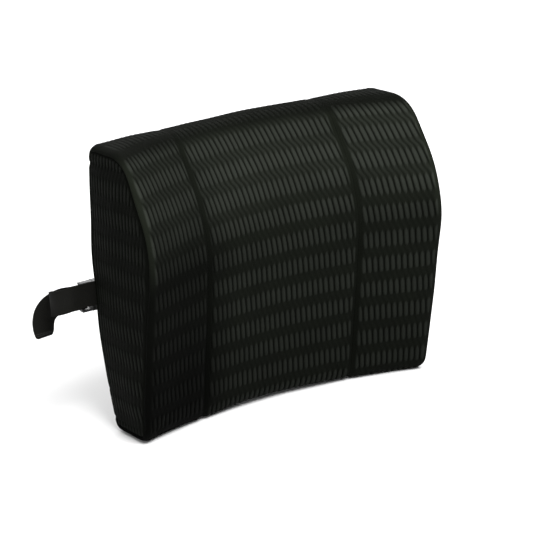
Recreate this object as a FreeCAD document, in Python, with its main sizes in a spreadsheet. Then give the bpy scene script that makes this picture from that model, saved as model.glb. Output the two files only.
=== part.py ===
"""Lumbar support cushion with a zipped mesh cover and a buckled chair strap, in millimetres.

The origin is on the flat underside, midway along the cushion. X runs along its width, -Y is the
concave side that meets the sitter's back, +Y is the side that meets the chair, and Z is up.
"""
import FreeCAD, Part
import math
import os
import Sketcher
from FreeCAD import Vector

DIMENSIONS = {
    "cushion_width": 340, "cushion_height": 300,
    "rear_radius": 970, "rear_axis_y": -942,
    "front_axis_y": -405, "base_radius": 387, "belly_radius": 335, "crown_radius": 385,
    "belly_height": 208,
    "belly_round": 80, "crown_round": 32, "toe_round": 18, "nape_round": 18, "heel_round": 14,
    "side_round": 9,
    "cover_skin": 4, "liner_skin": 1, "layer_gap": 0.3, "tool_margin": 20,
    "side_panel": 8, "column_seam": 89,
    "zip_height": 46, "zip_slit": 13, "zip_half_angle": 7.4, "zip_slit_half_angle": 7.95,
    "chain_depth": 2.1, "chain_slot": 1, "chain_half_angle": 7.75, "stop_angle": 0.1,
    "chain_sunk": 0.5, "chain_thick": 2.4, "tape_sunk": 1.2, "tape_thick": 1,
    "slider_length": 12, "pull_pin_out": 2.25, "pull_pin_radius": 0.8, "pull_width": 8,
    "label_angle": 1.3, "label_depth": 22, "label_gap_angle": 0.35, "label_out": 0.3, "label_thick": 0.4,
    "strap_width": 25, "strap_thick": 1.5, "strap_height": 146, "strap_front_y": 12.8,
    "strap_anchor_x": 154, "wrap_radius": 16.6, "left_wrap_x": 201, "right_wrap_x": 172,
    "left_return": 12, "right_return": 30, "bar_gap": 0.25,
    "buckle_mouth_x": -160, "buckle_y": 48.75, "buckle_height": 133, "buckle_slack": 0.5,
    "male_bar_offset": 12.25, "female_bar_offset": 37.25, "bar_length": 3.5, "bar_thick": 3.5,
}

doc = FreeCAD.newDocument("lumbar_cushion")
sheet = doc.addObject("Spreadsheet::Sheet", "dims")
for row, (alias, size) in enumerate(DIMENSIONS.items(), start=1):
    sheet.set(f"A{row}", alias)
    sheet.set(f"B{row}", str(size))
    sheet.setAlias(f"B{row}", alias)
doc.recompute()
nodes = []


def value(expression):
    """The number that an expression on the sheet gives now."""
    return float(sheet.evalExpression(str(expression)))


def bind(thing, **expressions):
    """Binds properties, written with __ for a dot, to expressions on the sheet."""
    for name, expression in expressions.items():
        thing.setExpression(name.replace("__", "."), str(expression))


def keep(thing, label):
    """Marks an object as a sub-part, and names its file."""
    thing.Label = label
    nodes.append(thing)
    return thing


def origin_plane(body, role):
    """One of a body's own origin planes."""
    return next(f for f in body.Origin.OriginFeatures if f.Role == role)


def attached_sketch(body, name, role):
    """A new sketch on one of a body's own origin planes."""
    sketch = body.newObject("Sketcher::SketchObject", name)
    sketch.AttachmentSupport = [(origin_plane(body, role), "")]
    sketch.MapMode = "FlatFace"
    return sketch


def pin_point(sketch, line, end, across, along):
    """Holds an end of a sketch line at a place that the sheet gives."""
    for kind, expression in (("DistanceX", across), ("DistanceY", along)):
        index = sketch.addConstraint(Sketcher.Constraint(kind, line, end, value(expression)))
        bind(sketch, **{f"Constraints[{index}]": expression})


def polygon(sketch, corners):
    """A closed outline whose corners are pairs of expressions."""
    points = [Vector(value(across), value(along), 0) for across, along in corners]
    for index, point in enumerate(points):
        following = points[(index + 1) % len(points)]
        sketch.addGeometry(Part.LineSegment(point, following))
    for index, (across, along) in enumerate(corners):
        following = (index + 1) % len(corners)
        sketch.addConstraint(Sketcher.Constraint("Coincident", index, 2, following, 1))
        pin_point(sketch, index, 1, across, along)


def box(name, low, size):
    """A block from its lowest corner and its size, each three expressions."""
    block = doc.addObject("Part::Box", name)
    bind(block, Length=size[0], Width=size[1], Height=size[2])
    bind(block, Placement__Base__x=low[0], Placement__Base__y=low[1], Placement__Base__z=low[2])
    return block


def boolean(kind, name, base, tool):
    """A cut, common or fuse of two objects."""
    result = doc.addObject(f"Part::{kind}", name)
    result.Base, result.Tool = base, tool
    return result


def fused(name, shapes):
    """One solid from several that overlap or meet."""
    result = doc.addObject("Part::MultiFuse", name)
    result.Shapes = shapes
    return result


# Cushion form: plan outline raised to full height, then hollowed at the front by a turned profile.

def wide_edges(shape, height, rear):
    """Names of the edges that run the cushion's width at one height, on the rear or the front."""
    return [
        f"Edge{index}" for index, edge in enumerate(shape.Edges, start=1)
        if edge.BoundBox.XLength > value("0.9 * dims.cushion_width")
        and abs(edge.BoundBox.Center.z - height) < 0.5
        and (edge.BoundBox.Center.y > 0) == rear
    ]


def side_outline(shape):
    """Names of the edges round both flat end faces."""
    outer = max(vertex.X for vertex in shape.Vertexes)
    return [
        f"Edge{index}" for index, edge in enumerate(shape.Edges, start=1)
        if all(abs(abs(vertex.X) - outer) < 0.01 for vertex in edge.Vertexes)
        and edge.BoundBox.XLength < 1
    ]


def rounded(body, name, base, edges, radius):
    """A fillet on some of the previous feature's edges."""
    fillet = body.newObject("PartDesign::Fillet", name)
    fillet.Base = (base, edges)
    bind(fillet, Radius=radius)
    doc.recompute()
    return fillet


def cushion_form(name, inset):
    """The cushion's solid form, shrunk all round by inset, an expression."""
    body = doc.addObject("PartDesign::Body", name)
    half = f"(dims.cushion_width / 2 - ({inset}))"
    radius = f"(dims.rear_radius - ({inset}))"
    corner_y = f"(dims.rear_axis_y + sqrt({radius} ^ 2 - {half} ^ 2))"
    front_y = "(dims.front_axis_y + dims.base_radius - dims.cushion_width / 2)"
    bottom, top = f"({inset})", f"(dims.cushion_height - ({inset}))"

    plan = attached_sketch(body, f"{name}_plan", "XY_Plane")
    bind(plan, AttachmentOffset__Base__z=bottom)
    apex = Vector(0, value(f"dims.rear_axis_y + {radius}"), 0)
    rear_right, rear_left = (Vector(turn * value(half), value(corner_y), 0) for turn in (1, -1))
    front_right, front_left = (Vector(turn * value(half), value(front_y), 0) for turn in (1, -1))
    right_side, front_side, left_side, rear_arc = range(4)
    plan.addGeometry(Part.LineSegment(rear_right, front_right))
    plan.addGeometry(Part.LineSegment(front_right, front_left))
    plan.addGeometry(Part.LineSegment(front_left, rear_left))
    plan.addGeometry(Part.Arc(rear_left, apex, rear_right))
    plan.addConstraint(Sketcher.Constraint("Coincident", right_side, 2, front_side, 1))
    plan.addConstraint(Sketcher.Constraint("Coincident", front_side, 2, left_side, 1))
    pin_point(plan, right_side, 1, half, corner_y)
    pin_point(plan, right_side, 2, half, front_y)
    pin_point(plan, left_side, 1, f"0 - {half}", front_y)
    pin_point(plan, left_side, 2, f"0 - {half}", corner_y)
    for arc_end in (1, 2):
        on_right = plan.getPoint(rear_arc, arc_end).x > 0
        line, line_end = (right_side, 1) if on_right else (left_side, 2)
        plan.addConstraint(Sketcher.Constraint("Coincident", rear_arc, arc_end, line, line_end))
    index = plan.addConstraint(Sketcher.Constraint("Radius", rear_arc, value(radius)))
    bind(plan, **{f"Constraints[{index}]": radius})
    raised = body.newObject("PartDesign::Pad", f"{name}_raised")
    raised.Profile = plan
    bind(raised, Length=f"{top} - {bottom}")
    doc.recompute()

    hollow = attached_sketch(body, f"{name}_front", "YZ_Plane")
    base = f"(dims.front_axis_y + dims.base_radius + ({inset}))"
    belly = f"(dims.front_axis_y + dims.belly_radius + ({inset}))"
    crown = f"(dims.front_axis_y + dims.crown_radius + ({inset}))"
    rise = "(dims.cushion_height - dims.belly_height)"
    under = f"({base} + ({base} - {belly}) * dims.tool_margin / dims.belly_height)"
    over = f"({crown} + ({crown} - {belly}) * dims.tool_margin / {rise})"
    inner = "(dims.front_axis_y + dims.belly_radius / 4)"
    polygon(hollow, [
        (under, "0 - dims.tool_margin"), (belly, "dims.belly_height"),
        (over, "dims.cushion_height + dims.tool_margin"),
        (inner, "dims.cushion_height + dims.tool_margin"), (inner, "0 - dims.tool_margin"),
    ])
    axis_x = value("dims.front_axis_y")
    axis = hollow.addGeometry(Part.LineSegment(Vector(axis_x, 0, 0), Vector(axis_x, 10, 0)), True)
    pin_point(hollow, axis, 1, "dims.front_axis_y", "0")
    hollow.addConstraint(Sketcher.Constraint("Vertical", axis))
    scooped = body.newObject("PartDesign::Groove", f"{name}_scooped")
    scooped.Profile = hollow
    scooped.ReferenceAxis = (hollow, ["Axis0"])
    scooped.Midplane = True
    scooped.Angle = 120  # wider than the cushion is, seen from the front axis
    doc.recompute()
    if scooped.Shape.Volume > 0.9 * raised.Shape.Volume:
        raise RuntimeError(f"{name}: the front was not scooped out")

    height = value("dims.cushion_height")
    rounds = [
        ("belly", value("dims.belly_height"), False, "dims.belly_round"),
        ("crown", height - value(inset), False, f"dims.crown_round - ({inset})"),
        ("toe", value(inset), False, f"dims.toe_round - ({inset})"),
        ("nape", height - value(inset), True, f"dims.nape_round - ({inset})"),
        ("heel", value(inset), True, f"dims.heel_round - ({inset})"),
    ]
    last = scooped
    for part, level, rear, size in rounds:
        last = rounded(body, f"{name}_{part}", last, wide_edges(last.Shape, level, rear), size)
    last = rounded(body, f"{name}_sides", last, side_outline(last.Shape), f"dims.side_round - ({inset})")
    body.Tip = last
    doc.recompute()
    return body


cover_inside = "dims.cover_skin"
liner_outside = "dims.cover_skin + dims.layer_gap"
liner_inside = "dims.cover_skin + dims.layer_gap + dims.liner_skin"
foam_outside = "dims.cover_skin + 2 * dims.layer_gap + dims.liner_skin"

cover_outer_form = cushion_form("cover_outer_form", "0")
cover_inner_form = cushion_form("cover_inner_form", cover_inside)
cover_shell = boolean("Cut", "cover_shell", cover_outer_form, cover_inner_form)
liner = boolean("Cut", "liner", cushion_form("liner_outer_form", liner_outside),
                cushion_form("liner_inner_form", liner_inside))
keep(liner, "foam_liner")
keep(cushion_form("foam", foam_outside), "foam_core")


# Cover panels: the shell is divided at the seams by blocks that reach past it.

far = "dims.cushion_width"
seam_x = "(dims.cushion_width / 2 - dims.side_panel)"
full_height = "dims.cushion_height + 2 * dims.tool_margin"


def full_block(name, low_x, length):
    """A block as tall and deep as the whole cushion over one stretch of its width."""
    return box(name, (low_x, "0 - dims.cushion_width", "0 - dims.tool_margin"),
               (length, "2 * dims.cushion_width", full_height))


def back_block(name, low_z, height):
    """A block over the rear wall between the side panels, from low_z up."""
    return box(name, (f"0 - {seam_x}", "0", low_z), (f"2 * {seam_x}", "dims.cushion_width", height))


def strap_block(name):
    """The straps' section where they pass through the rear seams."""
    half_x = "(dims.strap_anchor_x + dims.cushion_width / 4)"
    return box(name, (f"0 - {half_x}", "dims.strap_front_y - dims.strap_thick / 2",
                      "dims.strap_height - dims.strap_width / 2"),
               (f"2 * {half_x}", "dims.strap_thick", "dims.strap_width"))


def strap_slot(name):
    """The straps' section with its middle left out, so that only the seams are slotted."""
    middle = full_block(f"{name}_middle", "0 - dims.strap_anchor_x", "2 * dims.strap_anchor_x")
    return boolean("Cut", name, strap_block(f"{name}_run"), middle)


for side, low_x in (("left", f"0 - {far}"), ("right", seam_x)):
    block = full_block(f"side_{side}_zone", low_x, f"{far} - {seam_x}")
    whole = boolean("Common", f"side_{side}_whole", cover_shell, block)
    panel = boolean("Cut", f"side_{side}", whole, strap_slot(f"side_{side}_slot"))
    keep(panel, f"cover_side_{side}")

back_low = "dims.heel_round"
back_top = "(dims.cushion_height - dims.nape_round)"
front_shell = boolean("Cut", "front_shell", cover_shell,
                      back_block("back_zone", back_low, f"{back_top} - {back_low}"))
columns = {
    "left": (f"0 - {seam_x}", f"{seam_x} - dims.column_seam"),
    "center": ("0 - dims.column_seam", "2 * dims.column_seam"),
    "right": ("dims.column_seam", f"{seam_x} - dims.column_seam"),
}
for column, (low_x, length) in columns.items():
    block = full_block(f"front_{column}_zone", low_x, length)
    keep(boolean("Common", f"front_{column}", front_shell, block), f"cover_front_{column}")


def rear_sector(name, outer, inner, low_z, height, half_angle, turn="0"):
    """A plate that follows the rear wall's curve, centred at turn degrees from the middle."""
    discs = []
    for part, radius in (("outer", outer), ("inner", inner)):
        disc = doc.addObject("Part::Cylinder", f"{name}_{part}")
        disc.Placement = FreeCAD.Placement(Vector(), FreeCAD.Rotation(Vector(0, 0, 1), 90))
        bind(disc, Radius=radius, Height=height, Angle=f"2 * ({half_angle})")
        bind(disc, Placement__Base__y="dims.rear_axis_y", Placement__Base__z=low_z)
        bind(disc, Placement__Rotation__Angle=f"90 - ({half_angle}) - ({turn})")
        discs.append(disc)
    return boolean("Cut", name, discs[0], discs[1])


slit_low = "(dims.zip_height - dims.zip_slit / 2)"
slit_top = "(dims.zip_height + dims.zip_slit / 2)"
back_pieces = {
    "lower": (back_low, f"dims.zip_height - {back_low}"),
    "upper": ("dims.zip_height", f"{back_top} - dims.zip_height"),
}
for piece, (low_z, height) in back_pieces.items():
    wall = boolean("Common", f"back_{piece}_wall", cover_shell,
                   back_block(f"back_{piece}_zone", low_z, height))
    slit = rear_sector(f"back_{piece}_slit", "dims.rear_radius + dims.cover_skin",
                       "dims.rear_radius - 2 * dims.cover_skin", slit_low, "dims.zip_slit",
                       "dims.zip_slit_half_angle")
    panel = boolean("Cut", f"back_{piece}", wall, slit)
    if piece == "upper":
        panel = boolean("Cut", "back_upper_slotted", panel, strap_slot("back_upper_slot"))
    keep(panel, f"cover_back_{piece}")


# Zip: two tapes and two chain halves along the slit, a stop at each end, a slider and its pull.

chain_outer = "dims.rear_radius - dims.chain_sunk"
chain_inner = "dims.rear_radius - dims.chain_sunk - dims.chain_thick"
upper_chain_low = "(dims.zip_height + dims.chain_slot / 2)"
lower_chain_low = "(dims.zip_height - dims.chain_slot / 2 - dims.chain_depth)"
tape_depth = "(dims.zip_slit / 2 - dims.chain_slot / 2 - dims.chain_depth)"
tape_outer = "dims.rear_radius - dims.tape_sunk"
tape_inner = "dims.rear_radius - dims.tape_sunk - dims.tape_thick"
keep(rear_sector("tape_upper", tape_outer, tape_inner, f"{upper_chain_low} + dims.chain_depth",
                 tape_depth, "dims.zip_slit_half_angle"), "zip_tape_upper")
keep(rear_sector("tape_lower", tape_outer, tape_inner, slit_low,
                 tape_depth, "dims.zip_slit_half_angle"), "zip_tape_lower")
keep(rear_sector("chain_upper", chain_outer, chain_inner, upper_chain_low,
                 "dims.chain_depth", "dims.chain_half_angle"), "zip_chain_upper")
keep(rear_sector("chain_lower", chain_outer, chain_inner, lower_chain_low,
                 "dims.chain_depth", "dims.chain_half_angle"), "zip_chain_lower")
for end, sign in (("closed", ""), ("open", "0 - ")):
    stop_turn = f"{sign}(dims.chain_half_angle + dims.stop_angle)"
    stop = rear_sector(f"stop_{end}", chain_outer, chain_inner, lower_chain_low,
                       "2 * dims.chain_depth + dims.chain_slot", "dims.stop_angle * 0.8", stop_turn)
    keep(stop, f"zip_stop_{end}_end")


def ride_on_zip(thing):
    """Moves a shape that was made about the rear axis to the slider's closed end."""
    thing.Placement = FreeCAD.Placement(Vector(), FreeCAD.Rotation(Vector(0, 0, 1), -1))
    bind(thing, Placement__Base__y="dims.rear_axis_y", Placement__Base__z="dims.zip_height")
    bind(thing, Placement__Rotation__Angle="0 - dims.zip_half_angle")


def zip_block(name, center_x, length, low_y, depth, half_z):
    """A block on the slider, placed out from the rear wall's surface and centred on the chain."""
    return box(name, (f"{center_x} - {length} / 2", f"dims.rear_radius + ({low_y})", f"0 - {half_z}"),
               (length, depth, f"2 * {half_z}"))


# Each block: middle along the zip, length, how far out it starts, depth, half its height.
slider_blocks = {
    "face": (0, "dims.slider_length", -0.2, 1.2, 4.4),
    "under": (0, "dims.slider_length", -4, 0.8, 3.6),
    "neck": (0, 5, -3.6, 4, 0.3),
    "bail_left": (-3.6, 1, 0.9, 3.4, 1.2),
    "bail_right": (3.6, 1, 0.9, 3.4, 1.2),
    "bail_crown": (0, 8.2, 3.5, 0.8, 1.2),
}
slider = fused("slider", [zip_block(f"slider_{part}", *sizes) for part, sizes in slider_blocks.items()])
ride_on_zip(keep(slider, "zip_slider"))

pull_plate_y, pull_plate_depth = "dims.pull_pin_out - 0.75", 1.4
pull_pin = doc.addObject("Part::Cylinder", "pull_pin")
bind(pull_pin, Radius="dims.pull_pin_radius", Height="dims.pull_width",
     Placement__Base__y="dims.rear_radius + dims.pull_pin_out",
     Placement__Base__z="0 - dims.pull_width / 2")
pull_blank = fused("pull_blank", [
    pull_pin,
    zip_block("pull_arms", 4.2, 8.4, pull_plate_y, pull_plate_depth, "dims.pull_width / 2"),
    zip_block("pull_tab", 17, 18, pull_plate_y, pull_plate_depth, "dims.pull_width / 2"),
])
pull_eye = boolean("Cut", "pull_eye", pull_blank, zip_block("pull_eye_hole", 3.7, 5.6, 0, 6, 1.9))
pull = boolean("Cut", "pull", pull_eye, zip_block("pull_grip", 20, 6, 0, 6, 2.2))
ride_on_zip(keep(pull, "zip_pull"))

label_turn = "dims.zip_slit_half_angle + dims.label_angle / 2 + dims.label_gap_angle"
label = rear_sector("label", "dims.rear_radius + dims.label_out + dims.label_thick",
                    "dims.rear_radius + dims.label_out",
                    "dims.zip_height - dims.label_depth / 2", "dims.label_depth",
                    "dims.label_angle / 2", f"0 - ({label_turn})")
keep(label, "care_label")


# Webbing: flat ribbons carried along a path in plan, with a gentle drop behind the chair.

def ribbon(label, stations):
    """A ruled ribbon through (centre, width direction, face direction) stations."""
    wide = value("dims.strap_width") / 2
    thick = value("dims.strap_thick") / 2
    corners = ((wide, thick), (wide, -thick), (-wide, -thick), (-wide, thick))
    sections = []
    for center, across, face in stations:
        points = [center + across * step + face * lift for step, lift in corners]
        sections.append(Part.makePolygon(points + points[:1]))
    strap = doc.addObject("Part::Feature", f"{label}_shape")
    strap.Shape = Part.makeLoft(sections, True, True)
    return keep(strap, label)


class PlanPath:
    """Points and headings along a path of straight runs and round turns, seen from above."""

    def __init__(self, x, y, heading):
        self.x, self.y, self.heading, self.travel = x, y, heading, 0
        self.steps = [(x, y, heading, 0)]

    def mark(self):
        self.steps.append((self.x, self.y, self.heading, self.travel))

    def straight(self, length, pieces=1):
        for _ in range(pieces):
            self.x += math.cos(self.heading) * length / pieces
            self.y += math.sin(self.heading) * length / pieces
            self.travel += length / pieces
            self.mark()

    def turn(self, radius, degrees, pieces=12):
        step = math.radians(degrees) / pieces
        chord = 2 * radius * math.sin(abs(step) / 2)
        for _ in range(pieces):
            self.heading += step / 2
            self.x += math.cos(self.heading) * chord
            self.y += math.sin(self.heading) * chord
            self.heading += step / 2
            self.travel += radius * abs(step)
            self.mark()


def upright_stations(path, heights):
    """Stations with the webbing on edge, at heights interpolated along the path's length."""
    stations = []
    for x, y, heading, travel in path.steps:
        (start, low), (finish, high) = next(
            pair for pair in zip(heights, heights[1:]) if travel <= pair[1][0] + 1e-6)
        z = low + (high - low) * (travel - start) / (finish - start)
        face = Vector(-math.sin(heading), math.cos(heading), 0)
        stations.append((Vector(x, y, z), Vector(0, 0, 1), face))
    return stations


anchor_x = value("dims.strap_anchor_x")
front_y = value("dims.strap_front_y")
wrap = value("dims.wrap_radius")
strap_z = value("dims.strap_height")
bar_turn = value("dims.bar_thick / 2 + dims.strap_thick / 2 + dims.bar_gap")

left_bar_end = value("dims.buckle_mouth_x - dims.male_bar_offset + dims.bar_length / 2")
left_z = value("dims.buckle_height + dims.buckle_slack")
left = PlanPath(-anchor_x, front_y, math.pi)
left.straight(value("dims.left_wrap_x") - anchor_x)
wrap_start = left.travel
left.turn(wrap, -180)
wrap_end = left.travel
left.straight(left_bar_end - left.x, 3)
left.turn(bar_turn, 180, 8)
left.straight(value("dims.left_return"))
left_heights = [(0, strap_z), (wrap_start, strap_z), (wrap_end, left_z), (left.travel, left_z)]
# The free tail: places down its middle, and which way its width points at each.
tail = [
    ((-194, 52, 134), (-0.06, 0.02, 1.0)),
    ((-203, 53, 131), (-0.15, 0.06, 0.98)),
    ((-209, 54, 126.5), (-0.32, 0.10, 0.93)),
    ((-213, 54, 121.5), (-0.60, 0.12, 0.78)),
    ((-215.5, 53, 116), (-0.86, 0.05, 0.50)),
    ((-216.5, 52, 110.5), (-0.97, -0.08, 0.22)),
    ((-216.8, 51, 105), (-0.98, -0.16, 0.05)),
    ((-216.7, 50.5, 100.5), (-0.98, -0.19, 0.0)),
]
left_stations = upright_stations(left, left_heights)
centers = [Vector(*place) for place, _ in tail]
for index, (_, width_direction) in enumerate(tail):
    before, after = centers[max(index - 1, 0)], centers[min(index + 1, len(tail) - 1)]
    across = Vector(*width_direction).normalize()
    face = (after - before).cross(across).normalize()
    left_stations.append((centers[index], across, face))
ribbon("strap_left_webbing", left_stations)

right_bar_end = value("dims.buckle_mouth_x + dims.female_bar_offset - dims.bar_length / 2")
right_z = value("dims.buckle_height")
right = PlanPath(anchor_x, front_y, 0)
right.straight(value("dims.right_wrap_x") - anchor_x)
wrap_start = right.travel
right.turn(wrap, 180)
right.straight(right.x - right_bar_end, 6)
drop_end = right.travel
right.turn(bar_turn, -180, 8)
right.straight(value("dims.right_return"), 2)
right_heights = [(0, strap_z), (wrap_start, strap_z), (drop_end, right_z), (right.travel, right_z)]
ribbon("strap_right_webbing", upright_stations(right, right_heights))


# Side-release buckle: sizes run from the mouth, towards the cushion's right end.

def buckle_block(name, low_x, high_x, half_y, low_z, high_z):
    """A block on the buckle, centred on its thickness, with Z from its middle line."""
    return box(name, (f"dims.buckle_mouth_x + ({low_x})", f"dims.buckle_y - {half_y}",
                      f"dims.buckle_height + ({low_z})"),
               (f"({high_x}) - ({low_x})", f"2 * {half_y}", f"({high_z}) - ({low_z})"))


# Each block: from and to along the buckle, half its thickness, from and to across the buckle.
male_bar_low = "0 - dims.male_bar_offset - dims.bar_length / 2"
male_bar_high = "dims.bar_length / 2 - dims.male_bar_offset"
male_blocks = {
    "shoulder": (-3.5, 0, 4.8, -15.5, 15.5),
    "rail_upper": (male_bar_low, -3, 4, 13.25, 15.5),
    "rail_lower": (male_bar_low, -3, 4, -15.5, -13.25),
    "bar": (male_bar_low, male_bar_high, "dims.bar_thick / 2", -13.5, 13.5),
    "guide": (-0.5, 20, 1.5, -3, 3),
}
male = fused("male", [buckle_block(f"male_{part}", *spans) for part, spans in male_blocks.items()])
keep(male, "buckle_male")

female = buckle_block("female_blank", 0.3, 39, 5, -15.5, 15.5)
female_hollows = {
    "cavity": (0, 24, 3, -13.1, 13.1),
    "windows": (6, 20, 3.4, -20, 20),
    "slot": (29, 40, 6, -13.25, 13.25),
}
for hollow, spans in female_hollows.items():
    female = boolean("Cut", f"female_without_{hollow}", female, buckle_block(f"female_{hollow}", *spans))
female_bar = buckle_block("female_bar", "dims.female_bar_offset - dims.bar_length / 2",
                          "dims.female_bar_offset + dims.bar_length / 2", "dims.bar_thick / 2",
                          -13.5, 13.5)
keep(fused("female", [female, female_bar]), "buckle_female")

for level, sign in (("upper", 1), ("lower", -1)):
    spans = ((0.3, 21, 8.6, 11.6), (7.5, 18.5, 10.6, 15.7))
    arm_parts = []
    for part, (low_x, high_x, near_z, far_z) in enumerate(spans):
        low_z, high_z = sorted((sign * near_z, sign * far_z))
        arm_parts.append(buckle_block(f"arm_{level}_{part}", low_x, high_x, 2.4, low_z, high_z))
    keep(fused(f"arm_{level}", arm_parts), f"buckle_arm_{level}")


doc.recompute()
for thing in doc.Objects:
    if {"Invalid", "Error"} & set(thing.State):
        raise RuntimeError(f"{thing.Label} did not recompute: {thing.State}")
os.makedirs("parts", exist_ok=True)
for node in nodes:
    if node.Shape.isNull() or not node.Shape.isValid() or not node.Shape.Solids:
        raise RuntimeError(f"{node.Label} has no valid solid")
for node in nodes:
    node.Shape.exportStep(f"parts/{node.Label}.step")
    print(f"{node.Label}: {len(node.Shape.Solids)} solid, {node.Shape.Volume / 1000:.2f} cm3")
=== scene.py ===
import math

import bmesh
import bpy
import numpy as np
from mathutils import Matrix, Vector


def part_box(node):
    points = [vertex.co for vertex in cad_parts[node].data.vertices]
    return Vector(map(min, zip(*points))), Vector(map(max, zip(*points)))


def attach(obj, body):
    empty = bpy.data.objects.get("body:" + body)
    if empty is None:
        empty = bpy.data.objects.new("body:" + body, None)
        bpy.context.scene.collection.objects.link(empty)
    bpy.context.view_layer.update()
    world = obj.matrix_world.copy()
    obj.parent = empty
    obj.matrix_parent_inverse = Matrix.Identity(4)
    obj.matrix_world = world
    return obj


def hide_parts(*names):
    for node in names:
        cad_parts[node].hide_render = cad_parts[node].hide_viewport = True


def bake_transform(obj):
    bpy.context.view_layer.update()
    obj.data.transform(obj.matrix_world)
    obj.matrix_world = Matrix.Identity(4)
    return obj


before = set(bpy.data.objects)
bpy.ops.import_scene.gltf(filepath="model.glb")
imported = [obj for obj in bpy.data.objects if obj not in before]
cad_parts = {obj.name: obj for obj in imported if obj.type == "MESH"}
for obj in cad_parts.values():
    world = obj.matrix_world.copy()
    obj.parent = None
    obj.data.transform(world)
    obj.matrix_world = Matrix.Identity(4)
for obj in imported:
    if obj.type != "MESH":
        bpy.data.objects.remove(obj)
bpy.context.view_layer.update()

print("frame loaded")


# nodes, for materials and geometry alike

class Wire:  # one socket; sums and products of wires add Math nodes

    def __init__(self, tree, socket=None):
        self.tree = tree
        self.socket = socket

    def add(self, kind, settings=None, values=None, output=0):
        node = self.tree.nodes.new(kind)
        for name, setting in (settings or {}).items():
            setattr(node, name, setting)
        for name, value in (values or {}).items():
            if isinstance(value, Wire):
                self.tree.links.new(value.socket, node.inputs[name])
            else:
                node.inputs[name].default_value = value
        return Wire(self.tree, node.outputs[output])

    def maths(self, operation, *others):
        values = dict(enumerate((self,) + others))
        return self.add("ShaderNodeMath", {"operation": operation}, values)

    def __add__(self, other):
        return self.maths("ADD", other)

    def __mul__(self, other):
        return self.maths("MULTIPLY", other)

    def __sub__(self, other):
        return self.maths("SUBTRACT", other)

    def __rsub__(self, other):
        return (self * -1.0) + other

    def __truediv__(self, other):
        return self.maths("DIVIDE", other)

    def __pow__(self, other):
        return self.maths("POWER", other)

    __radd__ = __add__
    __rmul__ = __mul__

    def clamped(self):
        return self.maths("MAXIMUM", 0.0).maths("MINIMUM", 1.0)

    def smooth(self, low, high):  # 0 below low, 1 above high
        share = ((self - low) * (1.0 / (high - low))).clamped()
        return share * share * (3.0 - 2.0 * share)

    def split(self):
        node = self.add("ShaderNodeSeparateXYZ", {}, {0: self}).socket.node
        return [Wire(self.tree, out) for out in node.outputs]


# geometry trees

def newTree(name, inputs):
    tree = bpy.data.node_groups.new(name, "GeometryNodeTree")
    tree.interface.new_socket("Geometry", in_out="INPUT", socket_type="NodeSocketGeometry")
    tree.interface.new_socket("Geometry", in_out="OUTPUT", socket_type="NodeSocketGeometry")
    for label, value in inputs.items():
        kind = "NodeSocketMaterial" if label == "Material" else "NodeSocketFloat"
        socket = tree.interface.new_socket(label, in_out="INPUT", socket_type=kind)
        if value is not None:
            socket.default_value = value
    group = tree.nodes.new("NodeGroupInput")
    return tree, {out.name: Wire(tree, out) for out in group.outputs if out.name}


def endTree(tree, shape, material):
    real = shape.add("GeometryNodeRealizeInstances", {}, {"Geometry": shape})
    painted = real.add("GeometryNodeSetMaterial", {}, {"Geometry": real, "Material": material})
    out = tree.nodes.new("NodeGroupOutput")
    tree.links.new(painted.socket, out.inputs["Geometry"])
    return tree


def runTree(piece, tree, values):
    # leaves the piece as a plain mesh that holds what the tree made
    modifier = piece.modifiers.new(tree.name, "NODES")
    modifier.node_group = tree
    for item in tree.interface.items_tree:
        if item.in_out == "INPUT" and item.name in values:
            modifier[item.identifier] = values[item.name]
    graph = bpy.context.evaluated_depsgraph_get()
    made = bpy.data.meshes.new_from_object(piece.evaluated_get(graph), preserve_all_data_layers=True,
                                           depsgraph=graph)
    piece.modifiers.clear()
    piece.data = made
    return piece


# pieces

def newPiece(name, points, faces):
    mesh = bpy.data.meshes.new(name)
    mesh.from_pydata([tuple(p) for p in points], [], faces)
    mesh.polygons.foreach_set("use_smooth", [True] * len(mesh.polygons))
    piece = bpy.data.objects.new(name, mesh)
    bpy.context.scene.collection.objects.link(piece)
    return piece


def setAttribute(piece, name, values):
    values = np.asarray(values, np.float32)
    kind = "FLOAT_VECTOR" if values.ndim == 2 else "FLOAT"
    layer = piece.data.attributes.new(name, kind, "POINT")
    layer.data.foreach_set("vector" if values.ndim == 2 else "value", values.ravel())


def settle(piece, body, replaced=()):
    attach(piece, body)
    if replaced:
        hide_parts(*replaced)
    return piece


def smoothStep(values, low, high):
    share = np.clip((np.asarray(values, float) - low) / (high - low), 0, 1)
    return share * share * (3 - 2 * share)


def gridFaces(ids, turned=False):
    # four-cornered faces over a grid of vertex numbers, facing the other way when turned
    a, b, c, d = ids[:-1, :-1], ids[1:, :-1], ids[1:, 1:], ids[:-1, 1:]
    corners = (a, d, c, b) if turned else (a, b, c, d)
    return [tuple(face) for face in np.stack([part.ravel() for part in corners], 1).tolist()]


def tubeFaces(count, size):
    # the sides and both ends of a closed section repeated along a line
    ids = np.arange(count * size).reshape(count, size)
    sides = gridFaces(np.hstack([ids, ids[:, :1]]), turned=True)
    return sides + [tuple(ids[0, ::-1].tolist()), tuple(ids[-1].tolist())]


# materials

def newMaterial(name, **constants):
    material = bpy.data.materials.new(name)
    material.use_nodes = True
    tree = material.node_tree
    shader = tree.nodes["Principled BSDF"]
    for label, value in constants.items():
        shader.inputs[label.replace("_", " ")].default_value = value
    return material, Wire(tree), shader


def plug(wire, shader, label):
    wire.tree.links.new(wire.socket, shader.inputs[label])


def objectPoint(wire):
    return wire.add("ShaderNodeTexCoord", {}, {}, "Object")


def attribute(wire, name, output="Fac"):
    return wire.add("ShaderNodeAttribute", {"attribute_name": name}, {}, output)


def noise(wire, place, scale):
    return wire.add("ShaderNodeTexNoise", {}, {"Vector": place, "Scale": scale, "Detail": 3.0}, "Fac")


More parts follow.
